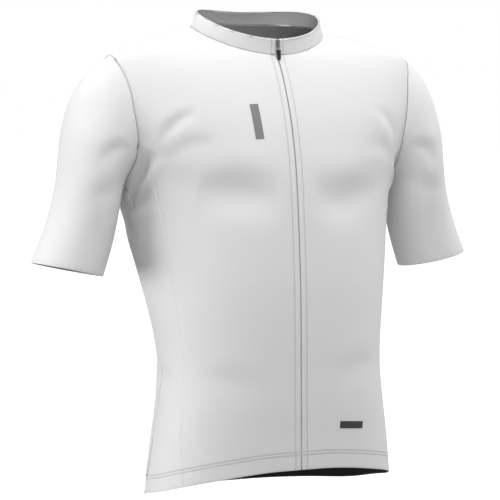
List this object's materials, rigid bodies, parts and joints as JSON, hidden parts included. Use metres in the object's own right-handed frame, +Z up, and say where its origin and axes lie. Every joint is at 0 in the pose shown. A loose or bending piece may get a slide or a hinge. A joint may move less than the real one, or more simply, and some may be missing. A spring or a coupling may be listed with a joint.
{
  "type": "cycling jersey",
  "caption": "Short-sleeved close-fitting cycling jersey with a stand collar, full front zip, side panels and flat rear pockets, hollow as if worn.",
  "frame": {"origin": "in the neck's opening, level with the collar's upper edge at its sides and 13 mm in front of the opening's middle, where the wearer holds the jersey", "axes": "+Z up, the jersey faces -Y, +X is the wearer's left"},
  "size_m": [0.6398, 0.2621, 0.6571],
  "materials": {
    "white_knit": "matte",
    "collar_knit": "matte",
    "zip_tape_weave": "matte",
    "zip_coil_plastic": "satin",
    "slider_metal": "satin",
    "moulded_black": "satin",
    "black_elastic": "matte",
    "grey_transfer": "matte",
    "charcoal_transfer": "matte"
  },
  "bodies": {
    "garment": {"front_right": "white_knit", "front_left": "white_knit", "side_right": "white_knit", "side_left": "white_knit", "back": "white_knit", "sleeve_right": "white_knit", "sleeve_left": "white_knit", "pocket_panel": "white_knit", "collar": "collar_knit", "zip_tape_right": "zip_tape_weave", "zip_tape_left": "zip_tape_weave", "zip_chain": "zip_coil_plastic", "zip_slider": "slider_metal", "hem_gripper": "black_elastic", "chest_bar": "grey_transfer", "hem_label": "charcoal_transfer", "side_tab_upper": "charcoal_transfer", "side_tab_lower": "charcoal_transfer"},
    "zip_pull": {"zip_pull_eye": "slider_metal", "zip_pull_grip": "moulded_black"}
  },
  "joints": [
    {"name": "zip_pull_hinge", "type": "hinge", "parent": "garment", "child": "zip_pull", "pos_m": [0, -0.05132, -0.04146], "axis": [-1, 0, 0], "range_deg": [0, 150]}
  ]
}
